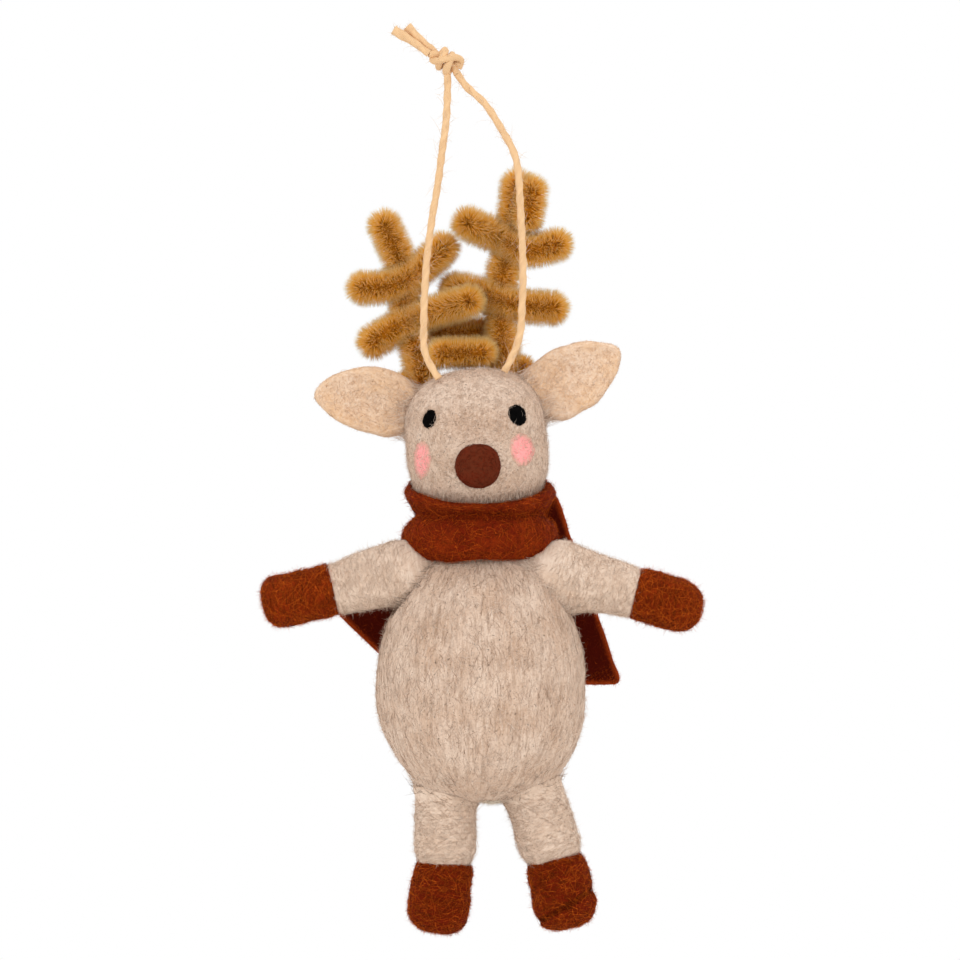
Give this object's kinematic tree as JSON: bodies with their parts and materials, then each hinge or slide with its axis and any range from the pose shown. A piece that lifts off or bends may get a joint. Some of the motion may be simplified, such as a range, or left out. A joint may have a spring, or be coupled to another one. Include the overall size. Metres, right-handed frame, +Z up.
{
  "type": "felt hanging ornament",
  "caption": "Needle-felted wool reindeer with chenille-stem antlers, felt scarf and wire-cored arms and legs, hung on a knotted twine loop.",
  "frame": {"origin": "hang point inside the twine loop, just under its knot", "axes": "+Z up, +X to the viewer's right, the face looks along -Y"},
  "size_m": [0.0881, 0.0381, 0.1818],
  "materials": {
    "greige_wool": "felted greige wool with streaks and dark specks",
    "pale_core": "pale core wool",
    "ear_felt": "beige felt",
    "rust_felt": "rust brown felted wool",
    "chenille_pile": "golden brown chenille pile on twisted wire",
    "jute_twine": "natural jute twine",
    "black_felt": "black felted wool",
    "pink_felt": "pink felted wool",
    "brown_felt": "dark brown felted wool",
    "steel_wire": "soft craft wire"
  },
  "bodies": {
    "hanger": {"hanger_strand_left": "jute_twine", "hanger_strand_right": "jute_twine", "hanger_knot": "jute_twine", "hanger_tail_upper": "jute_twine", "hanger_tail_lower": "jute_twine"},
    "head": {"head_shell": "greige_wool", "head_core": "pale_core", "hanger_stitch": "jute_twine", "nose": "brown_felt", "eye_left": "black_felt", "eye_right": "black_felt", "cheek_left": "pink_felt", "cheek_right": "pink_felt"},
    "ear_left": {"ear_left": "ear_felt"},
    "ear_right": {"ear_right": "ear_felt"},
    "antlers": {"antler_beam_left": "chenille_pile", "antler_beam_right": "chenille_pile", "antler_upper_left": "chenille_pile", "antler_upper_right": "chenille_pile", "antler_lower_left": "chenille_pile", "antler_lower_right": "chenille_pile", "antler_bridge_front": "chenille_pile", "antler_bridge_back": "chenille_pile", "antler_stub_left": "chenille_pile", "antler_stub_right": "chenille_pile"},
    "torso": {"torso_shell": "greige_wool", "torso_core": "pale_core", "neck_wire": "steel_wire", "shoulder_wire": "steel_wire", "hip_wire": "steel_wire", "scarf_wrap": "rust_felt"},
    "scarf_tail_left": {"scarf_tail_left": "rust_felt"},
    "arm_left": {"arm_wrap_left": "greige_wool", "arm_wire_left": "steel_wire", "mitt_left": "rust_felt"},
    "leg_left": {"leg_wrap_left": "greige_wool", "leg_wire_left": "steel_wire", "boot_left": "rust_felt"},
    "scarf_tail_right": {"scarf_tail_right": "rust_felt"},
    "arm_right": {"arm_wrap_right": "greige_wool", "arm_wire_right": "steel_wire", "mitt_right": "rust_felt"},
    "leg_right": {"leg_wrap_right": "greige_wool", "leg_wire_right": "steel_wire", "boot_right": "rust_felt"}
  },
  "joints": [
    {"name": "hanger_swing", "type": "hinge", "parent": "hanger", "child": "head", "pos_m": [-0.0026, -0.0068, -0.0598], "axis": [0.987, 0.121, 0.106], "range_deg": [-90, 2]},
    {"name": "neck_turn", "type": "hinge", "parent": "head", "child": "torso", "pos_m": [0.0048, 0, -0.0864], "axis": [0, 0, 1], "range_deg": [-10, 10]},
    {"name": "antlers_bend", "type": "hinge", "parent": "head", "child": "antlers", "pos_m": [-0.00594, 0.008, -0.06279], "axis": [0.9814, 0, 0.1921], "range_deg": [-25, 0]},
    {"name": "ear_flap_left", "type": "hinge", "parent": "head", "child": "ear_left", "pos_m": [-0.0091, 0.003, -0.0656], "axis": [-0.0802, 0, 0.9968], "range_deg": [-15, 25], "stiffness_Nm_per_rad": 0.002},
    {"name": "ear_flap_right", "type": "hinge", "parent": "head", "child": "ear_right", "pos_m": [0.01681, 0.003, -0.06221], "axis": [0.0802, 0, -0.9968], "range_deg": [-15, 25], "stiffness_Nm_per_rad": 0.002},
    {"name": "shoulder_left", "type": "hinge", "parent": "torso", "child": "arm_left", "pos_m": [-0.0108, -0.003, -0.0986], "axis": [0, 1, 0], "range_deg": [-30, 45]},
    {"name": "shoulder_right", "type": "hinge", "parent": "torso", "child": "arm_right", "pos_m": [0.022, -0.003, -0.0988], "axis": [0, -1, 0], "range_deg": [-30, 45]},
    {"name": "hip_left", "type": "hinge", "parent": "torso", "child": "leg_left", "pos_m": [-0.0014, -0.0015, -0.1434], "axis": [-1, 0, 0], "range_deg": [-25, 35]},
    {"name": "hip_right", "type": "hinge", "parent": "torso", "child": "leg_right", "pos_m": [0.0164, -0.0015, -0.143], "axis": [-1, 0, 0], "range_deg": [-25, 35]},
    {"name": "scarf_tail_swing_left", "type": "hinge", "parent": "torso", "child": "scarf_tail_left", "pos_m": [0.0034, 0.0171, -0.0886], "axis": [0.719, 0, -0.695], "range_deg": [0, 45]},
    {"name": "scarf_tail_swing_right", "type": "hinge", "parent": "torso", "child": "scarf_tail_right", "pos_m": [0.0152, 0.0171, -0.087], "axis": [0.9454, 0, 0.3258], "range_deg": [0, 45]}
  ]
}
